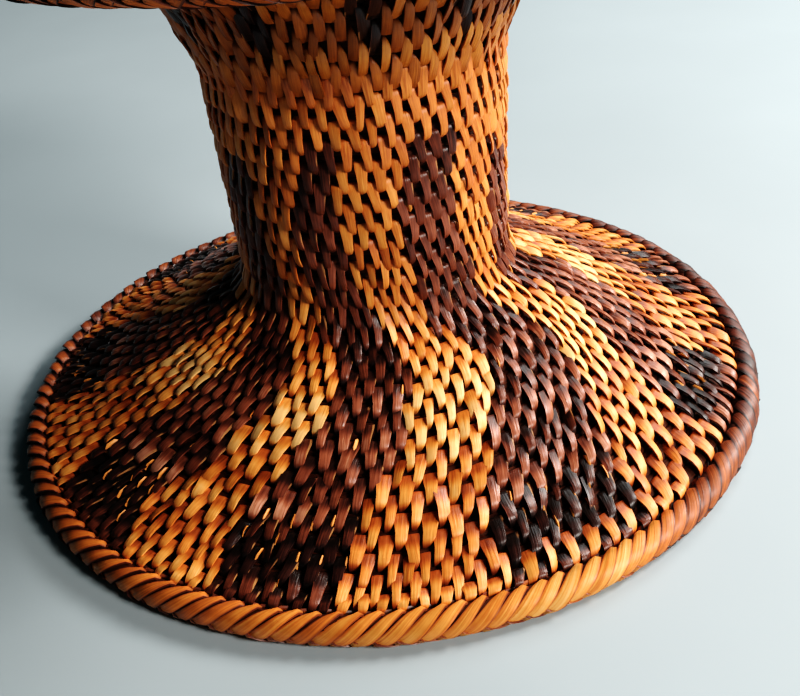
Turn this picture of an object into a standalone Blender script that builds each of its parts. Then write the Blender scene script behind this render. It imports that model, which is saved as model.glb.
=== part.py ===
"""A coiled goblet basket: a wide flaring foot, a narrow stem and a shallow flaring bowl.

The walls are rows of one long foundation coil, sewn over with light and dyed splints, and each
rim is a thicker rod under a slanted binding. Metres, +Z up, the foot's centre at the origin.
"""

import math

import bmesh
import bpy
from mathutils import Vector

# Driving dimensions
FOOT_RADIUS = 0.120  # over the foot's bound rim
FOOT_HEIGHT = 0.052  # up to the corner where the foot turns into the stem
FOOT_ROW_LIFT = 0.00185  # middle of the foot's last row above the middle of its rim rod
STEM_FOOT_RADIUS = 0.0416  # the stem's outside at that corner
STEM_TOP_RADIUS = 0.0430  # the stem's outside under the joining row
STEM_HEIGHT = 0.0572
JOINING_HEIGHT = 0.0046  # the one coil row that carries the bowl
JOINING_STEP = 0.0005  # how far that row and the bowl stand out past the stem
JOINING_SHELF = 0.0020  # how far that row reaches in under the bowl's floor
BOWL_RADIUS = 0.102  # over the bowl's bound rim
BOWL_DEPTH = 0.0392  # from the bowl's base up to the middle of its rim

# Coil, splints and rims
COIL_THICKNESS = 0.0040
ROW_SPACING = 0.0052  # from one turn of the coil to the next
ROW_RELIEF = 0.0016  # how deep the valley between two rows is on the inside of a wall
SPLINT_THICKNESS = 0.0009
SEAT_GAP = 0.0003  # between pieces that touch
RIM_ROD_RADIUS = 0.0030
RIM_BINDING_THICKNESS = 0.0012
RIM_SLIT_ANGLE = math.radians(30)  # half of the slit that the binding leaves towards the wall
FOOT_REST_DEPTH = 0.0004  # how deep the foot's binding is worn flat underneath
START_RADIUS = 0.0050  # the knot where the bowl's coil starts
START_HEIGHT = 0.0016
START_BEVEL = 0.0006
FLOOR_BEVEL = 0.0010

# Pattern of dyed blocks, their middles counted from the front
BLOCK_SEAM = 0.0004  # between a light block and a dyed one
PEDESTAL_SECTORS = 9
PEDESTAL_DYED_MIDDLE = math.radians(28)
BOWL_SECTORS = 12
BOWL_DYED_MIDDLE = math.radians(4.5)

# Outlines from top to bottom, as shares of the step in radius and of the height
FOOT_OUTLINE_SHARES = (
    (0.0, 1.0),
    (0.022, 0.87),
    (0.075, 0.775),
    (0.265, 0.60),
    (0.525, 0.368),
    (0.785, 0.14),
    (1.0, 0.0),
)
STEM_OUTLINE_SHARES = ((1.0, 1.0), (0.5, 0.5), (0.0, 0.0))
BOWL_OUTLINE_SHARES = (
    (1.0, 1.0),
    (0.76, 0.945),
    (0.52, 0.86),
    (0.30, 0.72),
    (0.175, 0.55),
    (0.10, 0.35),
    (0.045, 0.16),
    (0.0, 0.0),
)
JOINING_ROUND_SHARE = 0.35  # how far the joining row's outer side bulges, of its height

# Dyed blocks down their wall: place, sideways swing and width, the last two of a sector
PEDESTAL_BLOCK_SHARES = (
    (0.0, 0.0, 0.34),
    (0.17, -0.11, 0.44),
    (0.25, -0.17, 0.52),
    (0.42, -0.02, 0.60),
    (0.57, 0.28, 0.52),
    (0.67, 0.18, 0.54),
    (0.78, 0.06, 0.56),
    (0.88, -0.08, 0.56),
    (1.0, -0.10, 0.54),
)
BOWL_BLOCK_SHARES = ((0.0, 0.0, 0.5), (0.7, 0.0, 0.3), (1.0, 0.0, 0.1))

# Facets
ROUND_STEPS = 44
RIM_ARC_STEPS = 8
ROD_STEPS = 6
JOINING_ARC_STEPS = 4
STEM_STEPS = 5
FOOT_STEPS = 8
BOWL_STEPS = 8
START_STEPS = 12
EDGE_SEGMENTS = 1
SMOOTH_ANGLE = math.radians(40)
MERGE_WITHIN = 0.00001

# Worked out from the values above
COIL_INSET = SPLINT_THICKNESS + SEAT_GAP
WALL_THICKNESS = COIL_INSET + COIL_THICKNESS
RIM_RADIUS = RIM_ROD_RADIUS + SEAT_GAP + RIM_BINDING_THICKNESS
RIM_SEAT = RIM_RADIUS * math.cos(RIM_SLIT_ANGLE) + SEAT_GAP
FOOT_RIM_RADIUS = FOOT_RADIUS - RIM_RADIUS
FOOT_RIM_HEIGHT = RIM_RADIUS - FOOT_REST_DEPTH
STEM_TOP = FOOT_HEIGHT + STEM_HEIGHT
JOINING_BASE = STEM_TOP + SEAT_GAP
BOWL_BASE = JOINING_BASE + JOINING_HEIGHT + SEAT_GAP
BOWL_BASE_RADIUS = STEM_TOP_RADIUS + JOINING_STEP
BOWL_RIM_RADIUS = BOWL_RADIUS - RIM_RADIUS
BOWL_RIM_HEIGHT = BOWL_BASE + BOWL_DEPTH
FLOOR_RADIUS = BOWL_BASE_RADIUS - WALL_THICKNESS - SEAT_GAP
FLOOR_TOP = BOWL_BASE + COIL_THICKNESS

# Each window starts and ends at a step of its wall's outline
PEDESTAL_PATTERN = {
    "sectors": PEDESTAL_SECTORS,
    "middle": PEDESTAL_DYED_MIDDLE,
    "shares": PEDESTAL_BLOCK_SHARES,
    "window": (1, STEM_STEPS + FOOT_STEPS - 1),
    "dyed_steps": 3,
    "light_steps": 3,
}
BOWL_PATTERN = {
    "sectors": BOWL_SECTORS,
    "middle": BOWL_DYED_MIDDLE,
    "shares": BOWL_BLOCK_SHARES,
    "window": (1, BOWL_STEPS - 1),
    "dyed_steps": 2,
    "light_steps": 3,
}

DOWN = Vector((0, -1))
UP = Vector((0, 1))
TO_AXIS = Vector((-1, 0))


def clear_scene():
    for old in list(bpy.data.objects):
        bpy.data.objects.remove(old, do_unlink=True)


def new_collection(name):
    collection = bpy.data.collections.new(name)
    bpy.context.scene.collection.children.link(collection)
    return collection


def surface(name, color, roughness):
    material = bpy.data.materials.new(name)
    material.use_nodes = True
    shader = material.node_tree.nodes["Principled BSDF"]
    shader.inputs["Base Color"].default_value = (*color, 1.0)
    shader.inputs["Roughness"].default_value = roughness
    shader.inputs["Metallic"].default_value = 0.0
    return material


def place(name, mesh, material, height=0.0):
    mesh.materials.append(material)
    obj = bpy.data.objects.new(name, mesh)
    obj.location.z = height
    basket.objects.link(obj)
    return obj


def read_shares(shares, place_share, column):
    """Reads one column of a table of shares at a place along it."""
    for before, after in zip(shares, shares[1:]):
        if place_share <= after[0]:
            part = (place_share - before[0]) / (after[0] - before[0])
            return before[column] + part * (after[column] - before[column])
    return shares[-1][column]


def curve_between(a, b, c, d, t):
    """A point of the Catmull-Rom curve from b to c."""
    square = (a * 2 - b * 5 + c * 4 - d) * t**2
    cube = (b * 3 - a - c * 3 + d) * t**3
    return (b * 2 + (c - a) * t + square + cube) / 2


def smooth_path(knots, steps):
    """A curve through the knots, read at even steps of its length."""
    chain = [knots[0] * 2 - knots[1], *knots, knots[-1] * 2 - knots[-2]]
    fine = []
    for a, b, c, d in zip(chain, chain[1:], chain[2:], chain[3:]):
        for step in range(steps):
            fine.append(curve_between(a, b, c, d, step / steps))
    fine.append(knots[-1])
    return even_path(fine, steps)


def even_path(points, steps):
    lengths = [0.0]
    for before, after in zip(points, points[1:]):
        lengths.append(lengths[-1] + (after - before).length)
    path = []
    index = 0
    for step in range(steps + 1):
        target = lengths[-1] * step / steps
        while index < len(points) - 2 and lengths[index + 1] < target:
            index += 1
        part = (target - lengths[index]) / (lengths[index + 1] - lengths[index])
        path.append(points[index].lerp(points[index + 1], part))
    return path


def outline(shares, inner, outer, low, high, steps):
    """The outside of a wall from top to bottom, as points of radius and height."""
    knots = []
    for across, up in shares:
        knots.append(Vector((inner + across * (outer - inner), low + up * (high - low))))
    return smooth_path(knots, steps)


def inset(path, depth, top_way, bottom_way):
    """The path moved into the wall. Its two ends move straight along the given ways."""
    moved = [path[0] + top_way * depth]
    for before, point, after in zip(path, path[1:], path[2:]):
        along = (after - before).normalized()
        moved.append(point + Vector((along.y, -along.x)) * depth)
    moved.append(path[-1] + bottom_way * depth)
    return moved


def turned(name, section, material):
    """A closed section, which runs down its outer side, swept once round the axis."""
    mesh = bpy.data.meshes.new(name)
    count = len(section)
    edges = [(index, (index + 1) % count) for index in range(count)]
    mesh.from_pydata([(point.x, 0, point.y) for point in section], edges, [])
    obj = place(name, mesh, material)
    screw = obj.modifiers.new("Turn", "SCREW")
    screw.steps = ROUND_STEPS
    screw.render_steps = ROUND_STEPS
    screw.use_merge_vertices = True
    screw.merge_threshold = MERGE_WITHIN
    screw.use_smooth_shade = True
    return obj


def row_crowns(path):
    """The inside of a wall as its coil rows show it: a crown in the middle of each row."""
    length = 0.0
    for before, after in zip(path, path[1:]):
        length += (after - before).length
    rows = round(length / ROW_SPACING)
    crowns = even_path(path, 2 * rows)
    for index in range(2, 2 * rows - 1, 2):
        along = (crowns[index + 1] - crowns[index - 1]).normalized()
        crowns[index] = crowns[index] - Vector((along.y, -along.x)) * ROW_RELIEF
    return crowns


def coil_wall(name, path, top_way, bottom_way, rowed, material):
    """The foundation rows of one wall, under its splints."""
    outside = inset(path, COIL_INSET, top_way, bottom_way)
    inside = inset(path, WALL_THICKNESS, top_way, bottom_way)
    if rowed:
        inside = row_crowns(inside)
    return turned(name, outside + inside[::-1], material)


def block_edges(pattern, number, down_share):
    """The two side edges of one dyed block at a place down its wall, as angles from the front."""
    sector = 2 * math.pi / pattern["sectors"]
    shares = pattern["shares"]
    centre = pattern["middle"] + sector * (number + read_shares(shares, down_share, 1))
    half = sector * read_shares(shares, down_share, 2) / 2
    return centre - half, centre + half


def skin_angle(pattern, column, down_share, radius):
    """The angle of one column of the light skin, whose windows leave a seam round each block."""
    dyed_steps = pattern["dyed_steps"]
    number, local = divmod(column, dyed_steps + pattern["light_steps"])
    start, end = block_edges(pattern, number, down_share)
    following = block_edges(pattern, number + 1, down_share)[0]
    seam = BLOCK_SEAM / radius
    if local <= dyed_steps:
        return start - seam + (end - start + 2 * seam) * local / dyed_steps
    across_share = (local - dyed_steps) / pattern["light_steps"]
    return end + seam + (following - end - 2 * seam) * across_share


def shell(name, bm, material):
    """A finished object from an open sheet that faces outwards, thickened into the wall."""
    mesh = bpy.data.meshes.new(name)
    bm.to_mesh(mesh)
    bm.free()
    mesh.shade_smooth()
    obj = place(name, mesh, material)
    thickness = obj.modifiers.new("Thickness", "SOLIDIFY")
    thickness.thickness = SPLINT_THICKNESS
    thickness.offset = -1
    thickness.use_even_offset = True
    return obj


def turn_to(point, angle):
    return (point.x * math.sin(angle), -point.x * math.cos(angle), point.y)


def light_skin(name, path, pattern, material):
    """The light splints of one wall: a shell with a window for each dyed block."""
    rows = len(path) - 1
    sector_columns = pattern["dyed_steps"] + pattern["light_steps"]
    columns = sector_columns * pattern["sectors"]
    first, last = pattern["window"]
    bm = bmesh.new()
    grid = bmesh.ops.create_grid(bm, x_segments=columns, y_segments=rows, size=1)
    cells = {}
    for vert in grid["verts"]:
        cells[vert] = ((1 + vert.co.x) / 2 * columns, (1 - vert.co.y) / 2 * rows)
    windows = []
    for face in bm.faces:
        across = sum(cells[vert][0] for vert in face.verts) / len(face.verts)
        down = sum(cells[vert][1] for vert in face.verts) / len(face.verts)
        if across % sector_columns < pattern["dyed_steps"] and first < down < last:
            windows.append(face)
    for vert, (across, down) in cells.items():
        point = path[round(down)]
        vert.co = turn_to(point, skin_angle(pattern, round(across), down / rows, point.x))
    bmesh.ops.delete(bm, geom=windows, context="FACES")
    bmesh.ops.remove_doubles(bm, verts=bm.verts, dist=MERGE_WITHIN)
    return shell(name, bm, material)


def dyed_block(name, number, path, pattern, material):
    """One block of dyed splints, which fills its window in the light skin."""
    rows = len(path) - 1
    first, last = pattern["window"]
    bm = bmesh.new()
    grid = bmesh.ops.create_grid(
        bm, x_segments=pattern["dyed_steps"], y_segments=last - first, size=1
    )
    for vert in grid["verts"]:
        across_share = (1 + vert.co.x) / 2
        down = first + round((1 - vert.co.y) / 2 * (last - first))
        point = path[down].copy()
        if down == first:
            point += (path[down + 1] - point).normalized() * BLOCK_SEAM
        if down == last:
            point += (path[down - 1] - point).normalized() * BLOCK_SEAM
        start, end = block_edges(pattern, number, down / rows)
        vert.co = turn_to(point, start + across_share * (end - start))
    return shell(name, bm, material)


def splints(wall, path, pattern):
    light_skin(wall + "_light_splints", path, pattern, light_splint)
    for number in range(pattern["sectors"]):
        dyed_block(f"{wall}_dyed_splints_{number + 1:02d}", number, path, pattern, dyed_splint)


def rim_rod(name, radius, height, material):
    bpy.ops.mesh.primitive_torus_add(
        major_radius=radius,
        minor_radius=RIM_ROD_RADIUS,
        major_segments=ROUND_STEPS,
        minor_segments=ROD_STEPS,
    )
    made = bpy.context.object
    mesh = made.data
    bpy.data.objects.remove(made)
    mesh.shade_smooth()
    return place(name, mesh, material, height)


def rim_binding(name, radius, height, material):
    """The wrapping round a rim rod, slit towards the wall and flat where it meets the ground."""
    opening = math.pi - RIM_SLIT_ANGLE
    bore = RIM_RADIUS - RIM_BINDING_THICKNESS
    section = []
    for step in range(RIM_ARC_STEPS + 1):
        angle = opening * (1 - 2 * step / RIM_ARC_STEPS)
        level = max(0, height + RIM_RADIUS * math.sin(angle))
        section.append(Vector((radius + RIM_RADIUS * math.cos(angle), level)))
    for step in range(RIM_ARC_STEPS + 1):
        angle = opening * (2 * step / RIM_ARC_STEPS - 1)
        level = height + bore * math.sin(angle)
        section.append(Vector((radius + bore * math.cos(angle), level)))
    return turned(name, section, material)


def joining_row(name, material):
    """The row that ties the bowl to the stem, with a rounded outer side."""
    half = JOINING_HEIGHT / 2
    bulge = JOINING_HEIGHT * JOINING_ROUND_SHARE
    inner = BOWL_BASE_RADIUS - WALL_THICKNESS - JOINING_SHELF
    section = [Vector((inner, JOINING_BASE + JOINING_HEIGHT))]
    for step in range(JOINING_ARC_STEPS + 1):
        angle = math.pi * (step / JOINING_ARC_STEPS - 1 / 2)
        level = JOINING_BASE + half - half * math.sin(angle)
        section.append(Vector((BOWL_BASE_RADIUS - bulge + bulge * math.cos(angle), level)))
    section.append(Vector((inner, JOINING_BASE)))
    return turned(name, section, material)


def disc(name, radius, thickness, height, steps, bevel_width, material):
    bm = bmesh.new()
    bmesh.ops.create_cone(
        bm, cap_ends=True, segments=steps, radius1=radius, radius2=radius, depth=thickness
    )
    mesh = bpy.data.meshes.new(name)
    bm.to_mesh(mesh)
    bm.free()
    mesh.shade_smooth()
    mesh.set_sharp_from_angle(angle=SMOOTH_ANGLE)
    obj = place(name, mesh, material, height + thickness / 2)
    bevel = obj.modifiers.new("Edge", "BEVEL")
    bevel.width = min(bevel_width, thickness / 3)
    bevel.segments = EDGE_SEGMENTS
    return obj


def pedestal():
    """The foot and the stem, whose dyed blocks run on from one to the other."""
    stem_path = outline(
        STEM_OUTLINE_SHARES, STEM_FOOT_RADIUS, STEM_TOP_RADIUS, FOOT_HEIGHT, STEM_TOP, STEM_STEPS
    )
    foot_path = outline(
        FOOT_OUTLINE_SHARES,
        STEM_FOOT_RADIUS,
        FOOT_RIM_RADIUS - RIM_SEAT,
        FOOT_RIM_HEIGHT + FOOT_ROW_LIFT + WALL_THICKNESS / 2,
        FOOT_HEIGHT,
        FOOT_STEPS,
    )
    stem_ends = [stem_path[0], stem_path[-1] + UP * SEAT_GAP]
    coil_wall("stem_coil", stem_ends, TO_AXIS, TO_AXIS, False, coil_grass)
    coil_wall("foot_coil", foot_path, TO_AXIS, DOWN, True, coil_grass)
    splints("pedestal", stem_path + foot_path[1:], PEDESTAL_PATTERN)
    rim_rod("foot_rim_rod", FOOT_RIM_RADIUS, FOOT_RIM_HEIGHT, coil_grass)
    rim_binding("foot_rim_binding", FOOT_RIM_RADIUS, FOOT_RIM_HEIGHT, binding_splint)


def bowl():
    path = outline(
        BOWL_OUTLINE_SHARES,
        BOWL_BASE_RADIUS,
        BOWL_RIM_RADIUS - RIM_SEAT,
        BOWL_BASE,
        BOWL_RIM_HEIGHT - WALL_THICKNESS / 2,
        BOWL_STEPS,
    )
    coil_wall("bowl_coil", path, UP, TO_AXIS, True, coil_grass)
    splints("bowl", path, BOWL_PATTERN)
    rim_rod("bowl_rim_rod", BOWL_RIM_RADIUS, BOWL_RIM_HEIGHT, coil_grass)
    rim_binding("bowl_rim_binding", BOWL_RIM_RADIUS, BOWL_RIM_HEIGHT, binding_splint)


def bowl_floor():
    splints_base = FLOOR_TOP + SEAT_GAP
    start_base = splints_base + SPLINT_THICKNESS + SEAT_GAP
    disc(
        "bowl_floor_coil", FLOOR_RADIUS, COIL_THICKNESS, BOWL_BASE, ROUND_STEPS, FLOOR_BEVEL, coil_grass
    )
    disc(
        "bowl_floor_splints",
        FLOOR_RADIUS,
        SPLINT_THICKNESS,
        splints_base,
        ROUND_STEPS,
        FLOOR_BEVEL,
        light_splint,
    )
    disc(
        "bowl_coil_start", START_RADIUS, START_HEIGHT, start_base, START_STEPS, START_BEVEL, binding_splint
    )


clear_scene()
basket = new_collection("goblet_basket")
coil_grass = surface("coil_grass", (0.36, 0.20, 0.09), 0.8)
light_splint = surface("light_splint", (0.66, 0.36, 0.12), 0.5)
dyed_splint = surface("dyed_splint", (0.075, 0.035, 0.03), 0.45)
binding_splint = surface("binding_splint", (0.50, 0.22, 0.06), 0.5)
pedestal()
joining_row("joining_row", binding_splint)
bowl()
bowl_floor()
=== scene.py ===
import math

import bpy
import numpy as np
from mathutils import Matrix, Vector


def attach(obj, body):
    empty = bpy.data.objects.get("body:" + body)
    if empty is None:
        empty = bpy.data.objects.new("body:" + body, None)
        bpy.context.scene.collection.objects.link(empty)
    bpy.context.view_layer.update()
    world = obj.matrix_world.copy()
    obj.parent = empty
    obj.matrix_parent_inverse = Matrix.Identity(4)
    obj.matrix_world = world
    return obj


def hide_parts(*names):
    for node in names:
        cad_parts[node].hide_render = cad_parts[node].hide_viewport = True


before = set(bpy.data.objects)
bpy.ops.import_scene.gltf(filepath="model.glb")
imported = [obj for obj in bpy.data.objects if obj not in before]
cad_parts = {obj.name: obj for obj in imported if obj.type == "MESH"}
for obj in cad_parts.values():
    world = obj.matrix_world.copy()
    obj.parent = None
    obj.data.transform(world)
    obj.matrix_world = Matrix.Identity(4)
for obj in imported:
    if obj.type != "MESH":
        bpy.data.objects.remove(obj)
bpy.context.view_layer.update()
chance = np.random.default_rng(7)

# Metres, the same outline as the solids: radius and height of each turning point
outline = {
    "bowlEdge": (0.0933, 0.1510),
    "bowlBase": (0.0435, 0.1144),
    "bowlShares": (
        (1.0, 1.0), (0.76, 0.945), (0.52, 0.86), (0.30, 0.72), (0.175, 0.55), (0.10, 0.35), (0.045, 0.16),
        (0.0, 0.0),
    ),
    "stemTop": (0.0430, 0.1092),
    "stemFoot": (0.0416, 0.0520),
    "footEdge": (0.1113, 0.00855),
    "footShares": (
        (0.0, 1.0), (0.022, 0.87), (0.075, 0.775), (0.265, 0.60), (0.525, 0.368), (0.785, 0.14), (1.0, 0.0)
    ),
    "floorEdge": (0.0400, 0.1196),
    "footRim": (0.1155, 0.0041),
    "bowlRim": (0.0975, 0.1541),
    "rimRadius": 0.0045,
    "wall": 0.0052,
    "floorHole": 0.0030,  # radius where the floor's rows start
    "spare": 0.010,  # how far a wall's line runs on past its ends
    "curveStep": 0.02,  # of the way from one knot to the next
    "samples": 1200,  # points along a wall
    "softened": 8,  # points to each side over which the way out is averaged
}


def between(radii, heights, shares):
    return [
        (radii[0] + across * (radii[1] - radii[0]), heights[0] + up * (heights[1] - heights[0]))
        for across, up in shares
    ]


def smoothLine(knots):
    knots = [np.array(knot) for knot in knots]
    chain = [knots[0] * 2 - knots[1], *knots, knots[-1] * 2 - knots[-2]]
    points = []
    for a, b, c, d in zip(chain, chain[1:], chain[2:], chain[3:]):
        for t in np.arange(0, 1, outline["curveStep"]):
            square = (a * 2 - b * 5 + c * 4 - d) * t**2
            cube = (b * 3 - a - c * 3 + d) * t**3
            points.append((b * 2 + (c - a) * t + square + cube) / 2)
    return np.array(points + [knots[-1]])


def smoothed(values, width):
    padded = np.pad(values, width, mode="edge")
    return np.convolve(padded, np.ones(2 * width + 1) / (2 * width + 1), mode="valid")


# A wall is one line of radius and height with the way out from it, read by length from its top
def makeWall(points):
    spare = outline["spare"]
    start = points[0] + spare * (points[0] - points[1]) / np.linalg.norm(points[0] - points[1])
    end = points[-1] + spare * (points[-1] - points[-2]) / np.linalg.norm(points[-1] - points[-2])
    points = np.vstack([start, points, end])
    lengths = np.concatenate([[0], np.cumsum(np.linalg.norm(np.diff(points, axis=0), axis=1))])
    steps = np.linspace(0, lengths[-1], outline["samples"])
    radius = np.interp(steps, lengths, points[:, 0])
    height = np.interp(steps, lengths, points[:, 1])
    along = np.stack([np.gradient(radius), np.gradient(height)], axis=1)
    along /= np.linalg.norm(along, axis=1)[:, None]
    outRadius = smoothed(-along[:, 1], outline["softened"])
    outHeight = smoothed(along[:, 0], outline["softened"])
    size = np.hypot(outRadius, outHeight)
    return {
        "length": steps - spare,
        "radius": radius,
        "height": height,
        "outRadius": outRadius / size,
        "outHeight": outHeight / size,
        "total": lengths[-1] - 2 * spare,
    }


def radiusAt(wall, length):
    return np.interp(length, wall["length"], wall["radius"])


def onWall(wall, length, angle, lift):
    radius = radiusAt(wall, length) + lift * np.interp(length, wall["length"], wall["outRadius"])
    height = np.interp(length, wall["length"], wall["height"])
    height = height + lift * np.interp(length, wall["length"], wall["outHeight"])
    return np.stack([radius * np.sin(angle), -radius * np.cos(angle), height], axis=-1)


def lineLength(points):
    return float(np.linalg.norm(np.diff(points, axis=0), axis=1).sum())


bowlLine = smoothLine(between(*zip(outline["bowlBase"], outline["bowlEdge"]), outline["bowlShares"]))
stemLine = np.linspace(outline["stemTop"], outline["stemFoot"], 30)
footRadii, footHeights = zip(outline["stemFoot"], outline["footEdge"])
footLine = smoothLine(between(footRadii, footHeights[::-1], outline["footShares"]))
basketWall = makeWall(np.vstack([bowlLine, stemLine, footLine[1:]]))
floorWall = makeWall(np.linspace((outline["floorHole"], outline["floorEdge"][1]), outline["floorEdge"], 30))
bowlEnd = lineLength(bowlLine)
stemStart = bowlEnd + math.dist(outline["bowlBase"], outline["stemTop"])
footStart = stemStart + lineLength(stemLine)
wallEnd = basketWall["total"]
print("wall:", round(bowlEnd, 4), round(stemStart, 4), round(footStart, 4), round(wallEnd, 4))


def deselectAll():
    bpy.ops.object.select_all(action="DESELECT")


def choose(piece, test):
    bpy.ops.object.mode_set(mode="EDIT")
    bpy.ops.mesh.select_all(action="DESELECT")
    bpy.ops.object.mode_set(mode="OBJECT")
    for vert in piece.data.vertices:
        vert.select = test(vert.co)
    bpy.ops.object.mode_set(mode="EDIT")


def readPoints(items, label):
    values = np.zeros(len(items) * 3)
    items.foreach_get(label, values)
    return values.reshape(-1, 3)


def readNumbers(items, label):
    values = np.zeros(len(items), dtype=int)
    items.foreach_get(label, values)
    return values


def meshArrays(piece):
    mesh = piece.data
    return {
        "places": readPoints(mesh.vertices, "co"),
        "corners": readNumbers(mesh.loops, "vertex_index"),
        "starts": readNumbers(mesh.polygons, "loop_start"),
        "totals": readNumbers(mesh.polygons, "loop_total"),
    }


strapSection = {
    "sides": 6,
    "corner": 0.24,  # height of the side corners, as a share of the thickness
    "under": 0.6,  # how high the lower half is beside the upper one
    "sharp": math.radians(50),
}


# One strip of split root, in its own units: half widths across, coil rows along, metres thick.
# A station is the place along, the width, the lift, and the shift to one side.
def makeStrip(name, stations, thickness):
    deselectAll()
    sides = strapSection["sides"]
    bpy.ops.mesh.primitive_circle_add(
        vertices=sides, radius=1, fill_type="NGON", location=(0, 0, 0), rotation=(math.pi / 2, 0, 0)
    )
    strip = bpy.context.object
    strip.name = name
    bpy.ops.object.transform_apply(location=True, rotation=True, scale=True)
    bpy.ops.object.mode_set(mode="EDIT")
    bpy.ops.mesh.select_all(action="SELECT")
    cornerHeight = strapSection["corner"] * thickness
    # The circle's side corners are half its radius up
    bpy.ops.transform.resize(
        value=(1 / math.cos(math.pi / sides), 1, 2 * cornerHeight), center_override=(0, 0, 0)
    )
    choose(strip, lambda place: place.z < -0.0001)
    bpy.ops.transform.resize(value=(1, 1, strapSection["under"]), center_override=(0, 0, 0))
    bpy.ops.mesh.select_all(action="SELECT")
    place, width, lift, shift = stations[0]
    bpy.ops.transform.resize(value=(width, 1, 1), center_override=(0, 0, 0))
    bpy.ops.transform.translate(value=(shift, place, lift))
    for before, after in zip(stations, stations[1:]):
        move = (after[3] - before[3], after[0] - before[0], after[2] - before[2])
        bpy.ops.mesh.extrude_region_move(TRANSFORM_OT_translate={"value": move})
        middle = (after[3], after[0], after[2])
        bpy.ops.transform.resize(value=(after[1] / before[1], 1, 1), center_override=middle)
    bpy.ops.mesh.select_all(action="SELECT")
    bpy.ops.mesh.normals_make_consistent(inside=False)
    bpy.ops.object.mode_set(mode="OBJECT")
    arrays = meshArrays(strip)
    bpy.data.objects.remove(strip)
    return arrays


def batch(strip, places, tones, shadingAndRubAmounts, kind):
    count = len(places)
    return strip, places, np.broadcast_to(tones, count), np.broadcast_to(shadingAndRubAmounts, count), kind


# Every copy of a strip has its own place, its own tone and its share of painted shading and rubbing for the
# colour, and a material
def makePiece(name, batches, materials, nodes):
    verts, corners, starts, totals = [], [], [], []
    maps, tones, shadingAndRubAmounts, kinds = [], [], [], []
    vertBase = 0
    cornerBase = 0
    for strip, places, tone, wear, kind in batches:
        count = len(places)
        size = len(strip["places"])
        steps = np.arange(count)[:, None]
        verts.append(places.reshape(-1, 3))
        corners.append((strip["corners"][None, :] + steps * size + vertBase).ravel())
        starts.append((strip["starts"][None, :] + steps * len(strip["corners"]) + cornerBase).ravel())
        totals.append(np.tile(strip["totals"], count))
        # The map runs from 0 to 1 across the strap, and along it in coil rows
        flat = strip["places"][strip["corners"]][:, :2] * (0.5, 1) + (0.5, 0)
        maps.append(np.tile(flat, (count, 1)))
        tones.append(np.repeat(tone, size))
        shadingAndRubAmounts.append(np.repeat(wear, size))
        kinds.append(np.repeat(np.broadcast_to(kind, count), len(strip["starts"])))
        vertBase += count * size
        cornerBase += count * len(strip["corners"])
    mesh = bpy.data.meshes.new(name)
    mesh.vertices.add(vertBase)
    mesh.vertices.foreach_set("co", np.concatenate(verts).ravel())
    mesh.loops.add(cornerBase)
    mesh.loops.foreach_set("vertex_index", np.concatenate(corners))
    mesh.polygons.add(sum(len(part) for part in starts))
    mesh.polygons.foreach_set("loop_start", np.concatenate(starts))
    mesh.polygons.foreach_set("loop_total", np.concatenate(totals))
    mesh.polygons.foreach_set("material_index", np.concatenate(kinds).astype(int))
    mesh.update(calc_edges=True)
    strap = mesh.uv_layers.new(name="strap")
    strap.data.foreach_set("uv", np.concatenate(maps).ravel())
    for label, values in (("tone", tones), ("wear", shadingAndRubAmounts)):
        layer = mesh.attributes.new(label, "FLOAT", "POINT")
        layer.data.foreach_set("value", np.concatenate(values))
    mesh.validate()
    mesh.shade_smooth()
    mesh.set_sharp_from_angle(angle=strapSection["sharp"])
    for material in materials:
        mesh.materials.append(material)
    piece = bpy.data.objects.new(name, mesh)
    bpy.context.scene.collection.objects.link(piece)
    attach(piece, "root")
    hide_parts(*nodes)
    print("piece", name, len(mesh.vertices), "points")


evening = {"rounds": 60, "share": 0.35}  # how often and how far stitches move to the middle of their gap


# Sewing order: each stitch goes between two of the turn before, and where those have
# spread too far one more goes in. The places are counted in turns of the coil.
def sewTurns(turns, countAt, seed=None):
    places = list(np.arange(0, 1, 1 / countAt(0)) if seed is None else seed)
    above = [-1] * len(places)
    index = 0
    surplus = 0.0
    while places[-1] < turns:
        middle = (places[index] + places[index + 1]) / 2 + 1
        surplus += (middle - places[-1]) * countAt(middle) - 1
        if surplus >= 1:
            places.append((places[-1] + middle) / 2)
            above.append(-1)
            surplus -= 1
        places.append(middle)
        above.append(index)
        index += 1
    places = np.array(places)
    above = np.array(above)
    held = np.nonzero(above >= 0)[0]
    held = held[held < len(places) - 1]
    for _ in range(evening["rounds"]):
        places[1:-1] += evening["share"] * ((places[:-2] + places[2:]) / 2 - places[1:-1])
        middle = (places[above[held]] + places[above[held] + 1]) / 2 + 1
        places[held] += evening["share"] * (middle - places[held])
    return places


# A length of split root makes a run of stitches in one tone before the next is let in
def toneRuns(count, low, high):
    tones = np.zeros(count)
    at = 0
    while at < count:
        run = int(chance.integers(low, high))
        tones[at : at + run] = chance.random()
        at += run
    return tones


# How far each stitch's tone is from the middle one: by its run, and a little by itself
def mottled(count, mottle):
    tones = (toneRuns(count, *mottle["runs"]) - 0.5) * mottle["spread"]
    if mottle["speckle"]:
        tones = tones + chance.normal(0, mottle["speckle"], count)
    return tones


def readTable(table, value):
    return np.interp(value, [line[0] for line in table], [line[1] for line in table])


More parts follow.
